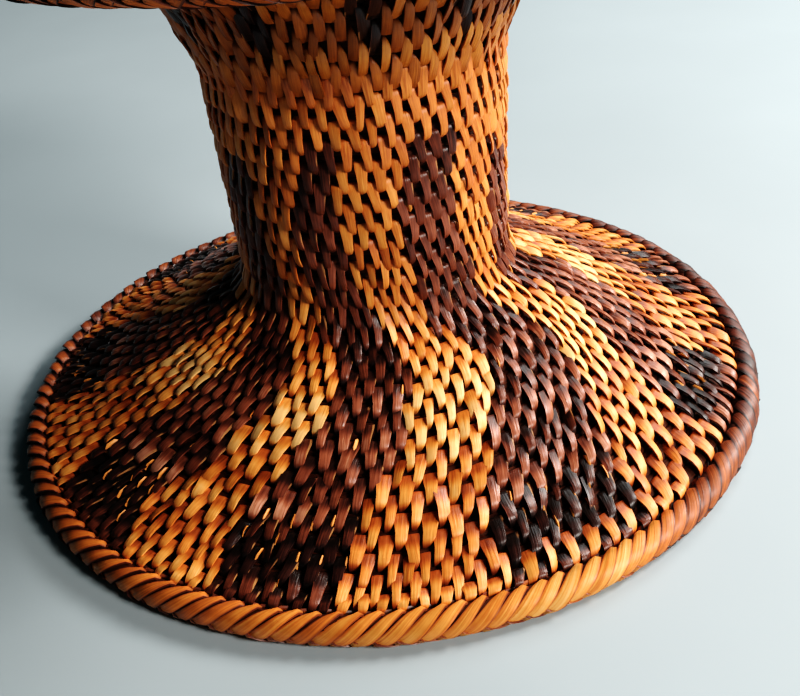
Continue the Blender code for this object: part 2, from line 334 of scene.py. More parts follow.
stitch = {
    "thickness": 0.0012,
    # rows down from the row line, share of the half width, lift of the middle, shift to one side
    "stations": (
        (-0.08, 0.90, -0.0036, 0.0), (0.01, 1.02, -0.0018, 0.0), (0.07, 1.06, -0.0012, 0.0),
        (0.28, 1.06, -0.0009, 0.0), (0.65, 0.88, -0.0004, 0.0), (1.05, 0.74, 0.0, 0.0),
        (1.40, 0.70, 0.0, -0.05), (1.62, 0.58, -0.0005, -0.16), (1.77, 0.40, -0.0014, -0.32),
        (1.86, 0.24, -0.0031, -0.46),
    ),
    "bowlStations": (
        (-0.08, 0.90, -0.0034, 0.0), (0.00, 1.00, -0.0014, 0.0), (0.08, 1.00, -0.0007, 0.0),
        (0.50, 0.98, -0.0002, 0.0), (1.05, 0.98, 0.0, 0.0), (1.40, 0.92, -0.0003, 0.08),
        (1.60, 0.70, -0.0006, 0.28), (1.78, 0.38, -0.0012, 0.58), (1.86, 0.20, -0.0028, 0.74),
    ),
    "cap": 1.6,  # rows from the far end to the cap where a stitch is turned round
    "body": (-0.1, 1.7),  # rows from the row line to the start and end, for the length test
    "middle": 0.8,  # rows from the row line to the middle
    "leanSpread": math.radians(4.5),
    "shift": 0.08,  # of the half width
    "widthSpread": 0.10,
    "endSpread": 0.07,  # rows
    "liftSpread": 0.00018,
    "tilt": 0.00030,  # one long edge over the other
    "shortest": 0.35,  # of the full length, where a wall ends
}


# Bends copies of the strip onto a wall, on its outer side or, with side -1, on its inner side
def sew(strip, wall, seam, side):
    unit = strip["places"]
    jitter = chance.normal(0, 1, (6, len(seam["turns"]), 1))
    across = unit[None, :, 0] * side
    along = unit[None, :, 1]
    low, high = unit[:, 1].min(), unit[:, 1].max()
    if seam["turned"]:
        across = -across
        along = stitch["cap"] - along
        low, high = stitch["cap"] - high, stitch["cap"] - low
    span = high - low
    rowStep = seam["row"]
    start = seam["rowLength"](seam["turns"] + low)[:, None]
    first = start + jitter[0] * stitch["endSpread"] * rowStep
    last = start + span * rowStep + jitter[1] * stitch["endSpread"] * rowStep
    first = np.clip(first, *seam["limits"])
    last = np.clip(last, *seam["limits"])
    length = first + (along - low) / span * (last - first)
    radius = radiusAt(wall, length)
    middle = (first + last) / 2
    half = seam["half"][:, None] * (1 + jitter[2] * stitch["widthSpread"])
    lean = np.tan(seam["lean"][:, None] + jitter[3] * stitch["leanSpread"])
    sideways = across * half - (length - middle) * lean * side
    sideways = sideways + jitter[4] * stitch["shift"] * half
    lift = unit[None, :, 2] + seam["lift"] + jitter[5] * stitch["liftSpread"]
    lift = lift + jitter[0] * stitch["tilt"] * across
    if side < 0:
        lift = -outline["wall"] - lift
    return onWall(wall, length, seam["angles"][:, None] + sideways / radius, lift)


def pickSeam(seam, chosen):
    return seam | {key: seam[key][chosen] for key in ("turns", "angles", "half", "lean")}


# Leaves out the stitches that a wall's end cuts too short
def longEnough(seam):
    low, high = stitch["body"]
    first = seam["rowLength"](seam["turns"] + low)
    last = np.clip(first + (high - low) * seam["row"], *seam["limits"])
    first = np.clip(first, *seam["limits"])
    return last - first > stitch["shortest"] * (high - low) * seam["row"]


core = {
    "half": 0.0031,
    "thick": 0.0015,
    "depth": 0.0027,
    "sides": 8,
    "steps": 64,  # a turn
    "middle": 0.3,  # rows down from the row line
    "mapTurn": 60,  # what a turn measures along the map
    "weld": 0.00002,
}


# The coil itself: a grid rolled into a tube that follows the rows
def makeCoil(wall, seam, firstTurn, lastTurn):
    turns = lastTurn - firstTurn
    deselectAll()
    bpy.ops.mesh.primitive_grid_add(
        x_subdivisions=core["sides"], y_subdivisions=int(turns * core["steps"]), size=2, location=(0, 0, 0)
    )
    grid = bpy.context.object
    mesh = grid.data
    flat = meshArrays(grid)["places"]
    section = (flat[:, 0] + 1) * math.pi
    turn = firstTurn + (flat[:, 1] + 1) / 2 * turns
    length = seam["rowLength"](turn + core["middle"]) + core["half"] * np.cos(section)
    lift = -core["depth"] - core["thick"] * np.sin(section)
    bent = onWall(wall, np.clip(length, *seam["limits"]), turn * 2 * math.pi + seam["startAngle"], lift)
    mesh.vertices.foreach_set("co", bent.ravel())
    aroundCoil = np.abs(section / math.pi - 1) * 2 - 1
    marks = np.stack([aroundCoil, turn * core["mapTurn"], turn * 0], axis=1)
    layer = mesh.attributes.new("marks", "FLOAT_VECTOR", "POINT")
    layer.data.foreach_set("vector", marks.ravel())
    bpy.ops.object.mode_set(mode="EDIT")
    bpy.ops.mesh.select_all(action="SELECT")
    bpy.ops.mesh.remove_doubles(threshold=core["weld"])
    bpy.ops.mesh.select_all(action="DESELECT")
    bpy.ops.mesh.select_non_manifold()
    bpy.ops.mesh.edge_face_add()
    bpy.ops.mesh.select_all(action="SELECT")
    bpy.ops.mesh.normals_make_consistent(inside=False)
    bpy.ops.object.mode_set(mode="OBJECT")
    arrays = meshArrays(grid)
    places = arrays["places"]
    arrays["places"] = readPoints(mesh.attributes["marks"].data, "vector")
    bpy.data.objects.remove(grid)
    return batch(arrays, places[None], 0.5, 0.0, 2)


class Wire:
    def __init__(self, recipe, socket):
        self.recipe = recipe
        self.socket = socket

    def work(self, operation, first, second):
        return self.recipe.node("ShaderNodeMath", {"operation": operation}, {0: first, 1: second})

    def __add__(self, other):
        return self.work("ADD", self, other)

    def __sub__(self, other):
        return self.work("SUBTRACT", self, other)

    def __mul__(self, other):
        return self.work("MULTIPLY", self, other)

    def __pow__(self, other):
        return self.work("POWER", self, other)

    def __abs__(self):
        return self.work("ABSOLUTE", self, 0.0)


class Recipe:
    def __init__(self, name):
        self.material = bpy.data.materials.new(name)
        self.material.use_nodes = True
        self.tree = self.material.node_tree
        self.shader = self.tree.nodes["Principled BSDF"]

    def feed(self, socket, value):
        if isinstance(value, Wire):
            self.tree.links.new(value.socket, socket)
        else:
            socket.default_value = value

    def node(self, kind, settings, inputs, output=0):
        made = self.tree.nodes.new(kind)
        for key, value in settings.items():
            if key == "stops":
                ramp = made.color_ramp
                while len(ramp.elements) < len(value):
                    ramp.elements.new(0.5)
                for element, stop in zip(ramp.elements, value):
                    element.position = stop[0]
                    element.color = (*stop[1], 1.0)
            else:
                setattr(made, key, value)
        for key, value in inputs.items():
            self.feed(made.inputs[key], value)
        return Wire(self, made.outputs[output])

    def noise(self, x, y, z, detail):
        spot = self.node("ShaderNodeCombineXYZ", {}, {0: x, 1: y, 2: z})
        return self.node("ShaderNodeTexNoise", {}, {"Vector": spot, "Scale": 1.0, "Detail": detail})

    # Noise drawn out along a strip: how fine it is across and along, and its detail
    def strands(self, across, along, seed, fineness):
        return self.noise(across * fineness[0], along * fineness[1], seed, fineness[2])

    def patches(self, scale, detail):
        spot = self.node("ShaderNodeTexCoord", {}, {}, "Object")
        return self.node("ShaderNodeTexNoise", {}, {"Vector": spot, "Scale": scale, "Detail": detail})

    def strapPlace(self):
        strap = self.node("ShaderNodeUVMap", {"uv_map": "strap"}, {})
        return [self.node("ShaderNodeSeparateXYZ", {}, {0: strap}, axis) for axis in (0, 1)]

    def ramp(self, stops, value):
        return self.node("ShaderNodeValToRGB", {"stops": stops}, {"Fac": value})

    def bump(self, height, strength, depth):
        return self.node("ShaderNodeBump", {}, {"Height": height, "Strength": strength, "Distance": depth})

    # 0 below the first value, 1 above the second, smooth between
    def rise(self, value, first, second, low=0.0, high=1.0):
        return self.node(
            "ShaderNodeMapRange", {"interpolation_type": "SMOOTHSTEP"},
            {"Value": value, "From Min": first, "From Max": second, "To Min": low, "To Max": high},
        )

    def mix(self, factor, first, second):
        return self.node("ShaderNodeMix", {"data_type": "RGBA"}, {0: factor, 6: first, 7: second}, 2)

    def finish(self, values):
        for key, value in values.items():
            self.feed(self.shader.inputs[key], value)
        return self.material


# The grain of split root. Places across run from 0 to 1, and places along are coil rows.
grain = {
    "seed": 311.0,
    "fibre": (9.0, 0.7, 4.0),
    "streak": (3.0, 0.8, 2.0), "streakSeed": 17.0, "streaks": 0.22,
    "patch": (420.0, 3.0), "patches": 0.16,
    # painted highlight and shade with real rubbing: the raised lower middle of a stitch is paler, the rest
    # darker
    "wornFrom": (0.35, 1.05), "wornTo": (1.45, 1.80), "wornMiddle": 0.45,
    # painted shade along the long edges of a strip: the higher this, the nearer the edges it stays
    "edge": 6.0,
    # a pale strip on one long edge of some dyed stitches: undyed root with a painted glint
    "undyedSheenStrip": (0.84, 0.91), "undyedSheenStripWave": 0.35, "undyedSheenStripSeed": 1.7, "undyedSheenStripAlong": 0.8,
    "undyedSheenStripShare": (0.48, 0.55),  # of the noise that picks the stitches with a pale edge: undyed root with a painted glint
    # painted shade at both ends of a stitch, where it dips under its neighbours
    "endShadeFrom": (-0.05, 0.10), "endShadeOver": 0.22,
    "bump": (0.45, 0.0003), "bumpStreak": 0.6, "rougher": 0.25,
}


def splintFinish(name, look):
    recipe = Recipe(name)
    across, along = recipe.strapPlace()
    tone = recipe.node("ShaderNodeAttribute", {"attribute_name": "tone"}, {}, "Fac")
    wear = recipe.node("ShaderNodeAttribute", {"attribute_name": "wear"}, {}, "Fac")
    seed = tone * grain["seed"]
    fibre = recipe.strands(across, along, seed, grain["fibre"])
    streak = recipe.strands(across, along, seed + grain["streakSeed"], grain["streak"])
    # Painted highlight and shade, with real rubbing: the raised lower middle of a stitch is made paler and
    # the rest darker, by each stitch's share.
    high = recipe.rise(along, *grain["wornFrom"]) * recipe.rise(along, *grain["wornTo"], 1.0, 0.0)
    shade = tone + (fibre - 0.5) * look["fibre"] + (streak - 0.5) * grain["streaks"]
    shade = shade + (recipe.patches(*grain["patch"]) - 0.5) * grain["patches"]
    shade = shade + wear * (high * look["worn"] - look["worn"] * grain["wornMiddle"])
    # Painted shade along both long edges of a strip; on the dyed ones the edges are made lighter instead, a
    # painted glint with real rubbing.
    edge = abs(across * 2.0 - 1.0) ** grain["edge"]
    shade = shade - edge * look["edgeShading"]
    color = recipe.ramp(look["stops"], shade)
    # A pale strip on one long edge of some dyed stitches: undyed root with a painted glint.
    if look["undyedSheenStrip"] > 0:
        undyedGlintEdge = recipe.rise(across + (streak - 0.5) * grain["undyedSheenStripWave"], *grain["undyedSheenStrip"])
        picked = recipe.noise(seed * grain["undyedSheenStripSeed"], along * grain["undyedSheenStripAlong"], 5.0, 1.0)
        undyedGlint = undyedGlintEdge * recipe.rise(picked, *grain["undyedSheenStripShare"]) * look["undyedSheenStrip"]
        color = recipe.mix(undyedGlint, color, look["undyedGlint"])
    # Painted shade: both ends of a stitch darken towards a recess colour where they dip under their
    # neighbours.
    endShade = recipe.rise(along, *grain["endShadeFrom"], look["endShade"], 1.0) * recipe.rise(
        along, look["end"] - grain["endShadeOver"], look["end"], 1.0, look["endShade"]
    )
    return recipe.finish({
        "Base Color": recipe.mix(endShade, look["recessShadeColour"], color),
        "Roughness": fibre * grain["rougher"] + look["roughness"],
        "Normal": recipe.bump(fibre + streak * grain["bumpStreak"], *grain["bump"]),
        "Specular IOR Level": look["gloss"],
    })


lightLook = {
    "stops": (
        (0.0, (0.10, 0.015, 0.003)), (0.3, (0.36, 0.076, 0.014)), (0.55, (0.61, 0.185, 0.036)),
        (0.78, (0.78, 0.320, 0.082)), (1.0, (0.86, 0.48, 0.19)),
    ),
    # Along each stitch: painted highlight on the raised lower middle and painted shade on the rest, with
    # real rubbing.
    "fibre": 0.50, "worn": 0.42, "edgeShading": 0.14, "undyedSheenStrip": 0.0, "endShade": 0.30, "end": 1.86,
    # painted shade: the recess colour that the ends of a stitch darken to
    "recessShadeColour": (0.050, 0.008, 0.002, 1), "roughness": 0.34, "gloss": 0.5,
}
# Some dyed stitches get a pale strip on one edge: undyed root with a painted glint.
dyedLook = {
    "stops": (
        (0.0, (0.008, 0.004, 0.003)), (0.3, (0.034, 0.012, 0.009)), (0.55, (0.14, 0.040, 0.022)),
        (0.8, (0.29, 0.090, 0.048)), (1.0, (0.48, 0.21, 0.13)),
    ),
    # lighter long edges on the dyed stitches: painted glint with real rubbing
    "fibre": 0.60, "worn": 0.42, "edgeShading": -0.26, "undyedSheenStrip": 0.8, "undyedGlint": (0.46, 0.22, 0.09, 1),
    "endShade": 0.35, "end": 1.86, "recessShadeColour": (0.008, 0.004, 0.003, 1), "roughness": 0.20, "gloss": 0.34,
}
# A darker copy of the light splint: painted shade for the bowl, which lies in the shadow of its rim; the
# bowl's floor uses it too.
shadedBowlLook = dict(
    lightLook,
    stops=(
        (0.0, (0.07, 0.016, 0.003)), (0.3, (0.24, 0.060, 0.008)), (0.6, (0.45, 0.135, 0.018)),
        (1.0, (0.74, 0.31, 0.06)),
    ),
)
bindingLook = dict(
    lightLook,
    stops=(
        (0.0, (0.012, 0.006, 0.005)), (0.22, (0.13, 0.034, 0.018)), (0.42, (0.38, 0.100, 0.028)),
        (0.62, (0.64, 0.180, 0.036)), (0.8, (0.82, 0.34, 0.085)), (1.0, (0.90, 0.56, 0.23)),
    ),
    # strong painted shade along the long edges of each wrap, between the wraps
    end=9.0, edgeShading=0.46,
)
lightSplint = splintFinish("lightSplint", lightLook)
dyedSplint = splintFinish("dyedSplint", dyedLook)
shadedBowlSplint = splintFinish("shadedBowlSplint", shadedBowlLook)
bindingSplint = splintFinish("bindingSplint", bindingLook)


grass = {
    "blade": (14.0, 0.35, 3.0), "bladeSeed": 3.0, "blades": 0.7,
    "patch": (90.0, 2.0), "patches": 0.3,
    # near black: painted shade on the coil, which shows only down the holes between stitches
    "stops": ((0.3, (0.022, 0.005, 0.002)), (0.6, (0.065, 0.016, 0.005)), (0.8, (0.14, 0.040, 0.011))),
    "bump": (0.6, 0.0006), "roughness": 0.6, "rougher": 0.2, "gloss": 0.2,
}


def coilFinish():
    recipe = Recipe("shadedCoilGrass")
    across, along = recipe.strapPlace()
    blades = recipe.strands(across, along, grass["bladeSeed"], grass["blade"])
    shade = blades * grass["blades"] + recipe.patches(*grass["patch"]) * grass["patches"]
    return recipe.finish({
        "Base Color": recipe.ramp(grass["stops"], shade),
        "Roughness": blades * grass["rougher"] + grass["roughness"],
        "Normal": recipe.bump(blades, *grass["bump"]),
        "Specular IOR Level": grass["gloss"],
    })


shadedCoilGrass = coilFinish()
print("materials made")

# Places along the pedestal are metres down from the top of the stem
pedestal = {
    "stemRow": 0.0059,
    "footRow": 0.0052,
    "first": -0.0059,
    "spareRows": 3,  # how far the rows are counted on past both ends
    "stop": 0.3,  # rows before the end that the last stitch starts
    "under": 0.0032,  # how far the last stitches run on under the rim
    "coilStop": 0.4,  # rows past the end where the coil stops
    "turnShift": -math.pi,
    "stitches": (
        (0.0, 56), (0.012, 57), (0.021, 59), (0.030, 61), (0.040, 63), (0.057, 63), (0.066, 66), (0.075, 72),
        (0.083, 79), (0.100, 82), (0.112, 86), (0.120, 96), (0.128, 104), (0.142, 112),
    ),
    "crowded": {"degrees": (-75, -48, -8, 8), "from": 0.114, "full": 0.122, "more": 16},
    "widths": (
        (0.0, 0.65), (0.055, 0.66), (0.070, 0.64), (0.090, 0.64), (0.105, 0.62), (0.120, 0.61), (0.140, 0.62)
    ),
    "leans": (
        (0.0, -3), (0.030, -4), (0.042, -9), (0.060, -6), (0.072, 6), (0.090, 13), (0.105, 14), (0.130, 12),
        (0.142, 9),
    ),
    # degrees more on the foot by the place round the basket
    "moreLean": (
        (-180, 0), (-90, -4), (-60, -8), (-30, -7), (0, -4), (15, 0), (30, 8), (50, 11), (75, 11), (120, 4),
        (180, 0),
    ),
    "moreLeanRows": ((0.050, 0.0), (0.070, 1.0)),
    # share of the painted highlight and shade along each stitch, with rubbing: little on the stem, full on
    # the foot
    "shadingAndRubAmounts": ((0.045, 0.15), (0.075, 1.0)),
    "mottle": {"runs": (6, 15), "spread": 0.22, "speckle": 0.05},
    "dyedMottle": 0.8,  # of the light stitches'
    "lightTones": (
        (0.0, 0.56), (0.020, 0.54), (0.050, 0.58), (0.070, 0.54), (0.081, 0.60), (0.0835, 0.90),
        (0.088, 0.90), (0.091, 0.74), (0.099, 0.60), (0.106, 0.44), (0.118, 0.48), (0.126, 0.42),
        (0.132, 0.48), (0.140, 0.40),
    ),
    "dyedTones": (
        (0.0, 0.50), (0.022, 0.47), (0.036, 0.58), (0.052, 0.57), (0.062, 0.42), (0.067, 0.24),
        (0.071, 0.26), (0.076, 0.46), (0.086, 0.40), (0.094, 0.54), (0.100, 0.38), (0.1085, 0.42),
        (0.1100, 0.66), (0.1150, 0.66), (0.1165, 0.30), (0.1210, 0.09), (0.133, 0.08), (0.1355, 0.60),
        (0.1369, 0.60), (0.1375, 0.18), (0.143, 0.14),
    ),
    # painted light: how much paler the dyed stitches on the foot are made, by the place round the basket;
    # palest on the lit right side
    "paintedLight": (
        (-180, 0.04), (-90, 0.0), (-30, 0.0), (0, 0.02), (18, 0.0), (40, 0.02), (60, 0.15), (90, 0.13),
        (180, 0.06),
    ),
    "paintedLightRows": ((0.060, 0.0), (0.080, 1.0), (0.1165, 1.0), (0.1210, 0.2), (0.133, 0.2), (0.1355, 0.6)),
    "lightRow": (0.1325, 0.1375),  # a row of light stitches that crosses the front block
    "blockPlace": 0.9,  # rows from the row line to the place that decides a stitch's block
    # the dyed blocks: metres down from the corner over the foot, degrees of swing, degrees wide
    "swing": (
        (-0.060, 27.5, 0), (-0.049, 27.5, 9), (-0.045, 27, 14), (-0.036, 23.5, 18), (-0.024, 21, 22),
        (-0.012, 24, 23), (0.0, 27, 27), (0.006, 30, 28), (0.012, 34, 27), (0.018, 38, 25),
        (0.023, 40, 24.5), (0.029, 39, 24), (0.036, 36, 25), (0.046, 32.5, 25.5), (0.054, 28.8, 26),
        (0.062, 26, 25), (0.072, 24, 23), (0.084, 25, 23),
    ),
    # where each block lies round the basket, how its width compares, and where above the corner it starts
    "blocks": (
        (0, 1.0, -0.0475), (40.5, 0.78, -0.034), (81, 0.85, -0.044), (121, 0.8, -0.040), (161, 0.9, -0.046),
        (201, 0.8, -0.038), (241, 0.85, -0.045), (281, 0.8, -0.040), (316.5, 0.8, -0.0445),
    ),
}
stemRows = (footStart - stemStart - pedestal["first"]) / pedestal["stemRow"]
footRows = (wallEnd - footStart) / pedestal["footRow"]


def pedestalLength(row):
    top = stemStart + pedestal["first"]
    more = pedestal["spareRows"]
    edges = (-more, 0, stemRows, stemRows + footRows + more)
    lengths = (top - more * pedestal["stemRow"], top, footStart, wallEnd + more * pedestal["footRow"])
    return np.interp(row, edges, lengths)


def pedestalCount(row):
    down = float(pedestalLength(row)) - stemStart
    crowded = pedestal["crowded"]
    degrees = (row * 360 + math.degrees(pedestal["turnShift"]) + 180) % 360 - 180
    near = np.interp(degrees, crowded["degrees"], (0, 1, 1, 0))
    deep = np.interp(down, (crowded["from"], crowded["full"]), (0, 1))
    return float(readTable(pedestal["stitches"], down) + crowded["more"] * near * deep)


def swingColumn(length, column):
    return readTable([(line[0], line[column]) for line in pedestal["swing"]], length)


# The number of the dyed block that a stitch is in, or -1
def pedestalBlocks(length, degrees):
    found = np.full(len(length), -1)
    for number, (place, width, top) in enumerate(pedestal["blocks"]):
        middle = swingColumn(length, 1) + place
        half = swingColumn(length, 2) * width / 2
        off = (degrees - middle + 180) % 360 - 180
        found[(np.abs(off) < half) & (length > top)] = number
    return found


def wrapDegrees(angles):
    return (np.degrees(angles) + 180) % 360 - 180


# How far round the leaning stitches have carried the rows
def driftAt(down):
    steps = np.linspace(0, wallEnd - stemStart, 400)
    slope = np.tan(np.radians(readTable(pedestal["leans"], steps))) / radiusAt(basketWall, stemStart + steps)
    drift = np.cumsum(slope) * (steps[1] - steps[0])
    return -np.interp(down, steps, drift)


strapStrip = makeStrip("strapStrip", stitch["stations"], stitch["thickness"])
turns = sewTurns(stemRows + footRows - pedestal["stop"], pedestalCount)
down = pedestalLength(turns) - stemStart
angles = turns * 2 * math.pi + pedestal["turnShift"] + driftAt(down)
radii = radiusAt(basketWall, pedestalLength(turns + stitch["middle"]))
moreLean = readTable(pedestal["moreLean"], wrapDegrees(angles)) * readTable(pedestal["moreLeanRows"], down)
pedestalSeam = {
    "turns": turns,
    "angles": angles,
    "startAngle": pedestal["turnShift"],
    "rowLength": pedestalLength,
    "half": smoothed(np.gradient(turns), 2) * math.pi * radii * readTable(pedestal["widths"], down),
    "lean": np.radians(readTable(pedestal["leans"], down) + moreLean),
    "row": pedestal["footRow"],
    "lift": 0.0,
    "turned": False,
    "limits": (0.0, wallEnd + pedestal["under"]),
}
firstTurn = turns[turns < 1]
longOnes = longEnough(pedestalSeam)
pedestalSeam = pickSeam(pedestalSeam, longOnes)
down = down[longOnes]
degrees = wrapDegrees(pedestalSeam["angles"])
blocks = pedestalBlocks(pedestalLength(pedestalSeam["turns"] + pedestal["blockPlace"]) - footStart, degrees)
lightFrom, lightTo = pedestal["lightRow"]
blocks[(blocks == 0) & (down > lightFrom) & (down < lightTo)] = -1
count = len(down)
mottle = mottled(count, pedestal["mottle"])
lightTone = np.clip(readTable(pedestal["lightTones"], down) + mottle, 0.02, 0.98)
# Painted light: the dyed stitches on the foot are made paler towards the lit right side.
paintedLight = readTable(pedestal["paintedLight"], degrees) * readTable(pedestal["paintedLightRows"], down)
dyedTone = readTable(pedestal["dyedTones"], down) + paintedLight + mottle * pedestal["dyedMottle"]
tones = np.where(blocks < 0, lightTone, np.clip(dyedTone, 0.0, 0.98))
shadingAndRubAmounts = readTable(pedestal["shadingAndRubAmounts"], down)
outerPlaces = sew(strapStrip, basketWall, pedestalSeam, 1)
innerPlaces = sew(strapStrip, basketWall, pedestalSeam, -1)


def chosenBatch(places, chosen, kind):
    return batch(strapStrip, places[chosen], tones[chosen], shadingAndRubAmounts[chosen], kind)


# One row more, between the bowl's last stitches, ties the stem to the bowl
joiningRow = {
    "sampled": 40,  # of the stem's first stitches give its width
    "tone": 0.5,
    "mottle": {"runs": (5, 12), "spread": 0.2, "speckle": 0},
    "wear": 0.1,
}
joining = (firstTurn + np.append(firstTurn[1:], firstTurn[0] + 1)) / 2
joiningSeam = dict(
    pedestalSeam,
    turns=joining - 1,
    angles=joining * 2 * math.pi + pedestal["turnShift"],
    half=np.full(len(joining), pedestalSeam["half"][: joiningRow["sampled"]].mean()),
    lean=np.full(len(joining), math.radians(pedestal["leans"][0][1])),
)
joiningTones = np.clip(joiningRow["tone"] + mottled(len(joining), joiningRow["mottle"]), 0, 1)
makePiece(
    "ridgeStitches",
    [batch(strapStrip, sew(strapStrip, basketWall, joiningSeam, 1), joiningTones, joiningRow["wear"], 0)],
    [lightSplint], ["joining_row"],
)
makePiece(
    "lightStitches", [chosenBatch(outerPlaces, blocks < 0, 0)], [lightSplint],
    ["pedestal_light_splints"],
)

# Ends of pale straw that show beside some dyed stitches
straw = {
    "stations": (
        (-0.02, 0.3, -0.0014, 0.0), (0.10, 0.8, -0.0005, 0.0), (0.50, 1.0, -0.0002, 0.0),
        (0.80, 0.5, -0.0010, 0.0),
    ),
    "half": 0.00045,
    "beside": 0.0016,
    "tone": 0.74,
    "shares": ((0.112, 0.03), (0.1185, 0.5), (0.133, 0.45), (0.135, 0.0)),
}
strawStrip = makeStrip("strawStrip", straw["stations"], stitch["thickness"])
hasStraw = chance.random(count) < readTable(straw["shares"], down)
for number in range(len(pedestal["blocks"])):
    chosen = hasStraw & (blocks == number)
    strawSeam = pickSeam(pedestalSeam, chosen)
    strawSeam["half"] = np.full(len(strawSeam["turns"]), straw["half"])
    strawSeam["angles"] = strawSeam["angles"] + straw["beside"] / radiusAt(
        basketWall, pedestalLength(strawSeam["turns"])
    )
    makePiece(
        f"dyedBlock{number + 1}",
        [
            chosenBatch(outerPlaces, blocks == number, 0),
            batch(strawStrip, sew(strawStrip, basketWall, strawSeam, 1), straw["tone"], 0.0, 1),
        ],
        [dyedSplint, lightSplint], [f"pedestal_dyed_splints_{number + 1:02d}"],
    )
onStem = down < footStart - stemStart
innerKinds = (blocks >= 0).astype(int)
coilEnd = stemRows + footRows + pedestal["coilStop"]
for name, chosen, firstRow, lastRow, node in (
    ("stemCoil", onStem, -1.0, stemRows, "stem_coil"),
    ("footCoil", ~onStem, stemRows, coilEnd, "foot_coil"),
):
    makePiece(
        name,
        [
            chosenBatch(innerPlaces, chosen, innerKinds[chosen]),
            makeCoil(basketWall, pedestalSeam, firstRow, lastRow),
        ],
        [lightSplint, dyedSplint, shadedCoilGrass], [node],
    )

# The bowl is sewn from its base up, so its stitches are turned round
bowl = {
    "row": 0.0053,
    "stitches": ((0.0, 57), (0.010, 65), (0.020, 71), (0.045, 84), (0.070, 97)),  # metres up from the base
    "gap": 0.0058,  # metres from the top of the stem up to the mark for the last row
    "back": 0.6,  # rows from there up to its row line
    "past": 1.2,  # rows of sewing past the bowl's edge
    "coilFrom": -0.8,  # rows from the bowl's edge
    "coilPast": 0.6,  # rows past the last row line
    "limits": (-0.0030, stemStart),
    "width": 0.57,
    "lean": math.radians(3),
    "lift": -0.0001,
    "tone": 0.50,
    "mottle": {"runs": (6, 15), "spread": 0.35, "speckle": 0.04},
    "wear": 0.3,
    "wedges": 12,
    "dyedMiddle": 4.5,  # degrees to the middle of the first wedge
    "dyedWidths": ((0.0090, 0.0), (0.0095, 5.0), (0.018, 7.5), (0.035, 11.0), (0.070, 15.0)),
    "dyedTone": 0.12,
}


def bowlLength(row):
    return row * bowl["row"]


bowlLast = (stemStart - bowl["gap"]) / bowl["row"] - bowl["back"]
bowlChain = sewTurns(
    bowlLast + bowl["past"], lambda row: float(readTable(bowl["stitches"], row * bowl["row"])),
    np.sort((-firstTurn) % 1),
)
bowlTurns = bowlLast - bowlChain
bowlRadii = radiusAt(basketWall, bowlLength(bowlTurns + stitch["middle"]))
bowlSeam = {
    "turns": bowlTurns,
    "angles": -bowlChain * 2 * math.pi - math.pi,
    "startAngle": -bowlLast * 2 * math.pi - math.pi,
    "rowLength": bowlLength,
    "half": smoothed(np.gradient(bowlChain), 2) * math.pi * bowlRadii * bowl["width"],
    "lean": np.full(len(bowlTurns), bowl["lean"]),
    "row": bowl["row"],
    "lift": bowl["lift"],
    "turned": True,
    "limits": bowl["limits"],
}
bowlSeam = pickSeam(bowlSeam, longEnough(bowlSeam))
bowlStrip = makeStrip("bowlStrip", stitch["bowlStations"], stitch["thickness"])
bowlUp = bowlEnd - bowlLength(bowlSeam["turns"] + stitch["middle"])
wedgeStep = 360 / bowl["wedges"]
fromWedge = np.degrees(bowlSeam["angles"]) - bowl["dyedMiddle"] + wedgeStep / 2
offset = fromWedge % wedgeStep - wedgeStep / 2
wedge = np.floor(fromWedge / wedgeStep).astype(int) % bowl["wedges"]
isDyed = np.abs(offset) < readTable(bowl["dyedWidths"], bowlUp) / 2
bowlTones = np.clip(bowl["tone"] + mottled(len(bowlUp), bowl["mottle"]), 0, 1)
bowlTones = np.where(isDyed, bowl["dyedTone"], bowlTones)
bowlOuter = sew(bowlStrip, basketWall, bowlSeam, 1)
bowlInner = sew(bowlStrip, basketWall, bowlSeam, -1)


def bowlBatch(chosen):
    return batch(bowlStrip, bowlOuter[chosen], bowlTones[chosen], bowl["wear"], 0)


makePiece(
    "bowlLightStitches", [bowlBatch(~isDyed)], [shadedBowlSplint], ["bowl_light_splints"]
)
for number in range(bowl["wedges"]):
    makePiece(
        f"bowlWedge{number + 1}", [bowlBatch(isDyed & (wedge == number))], [dyedSplint],
        [f"bowl_dyed_splints_{number + 1:02d}"],
    )
makePiece(
    "bowlCoil",
    [
        batch(bowlStrip, bowlInner, bowlTones, bowl["wear"], isDyed.astype(int)),
        makeCoil(basketWall, bowlSeam, bowl["coilFrom"], bowlLast + bowl["coilPast"]),
    ],
    [shadedBowlSplint, dyedSplint, shadedCoilGrass], ["bowl_coil"],
)

# The bowl's floor: a flat spiral that starts in a knot
disc = {
    "row": 0.0050,
    "pitch": 0.0044,
    "width": 0.52,
    "middle": 0.9,  # rows from the row line to where the pitch is measured
    "fewest": 9.5,  # stitches in a turn
    "stop": 0.9,  # rows before the edge that the last stitch starts
    "coilStop": 0.3,  # rows before the edge where the coil stops
    "lean": math.radians(6),
    "tone": 0.5,
    "mottle": {"runs": (5, 12), "spread": 0.3, "speckle": 0},
    "wear": 0.3,
}


def discLength(row):
    return row * disc["row"]


def discCount(row):
    radius = outline["floorHole"] + (row + disc["middle"]) * disc["row"]
    return max(disc["fewest"], 2 * math.pi * radius / disc["pitch"])


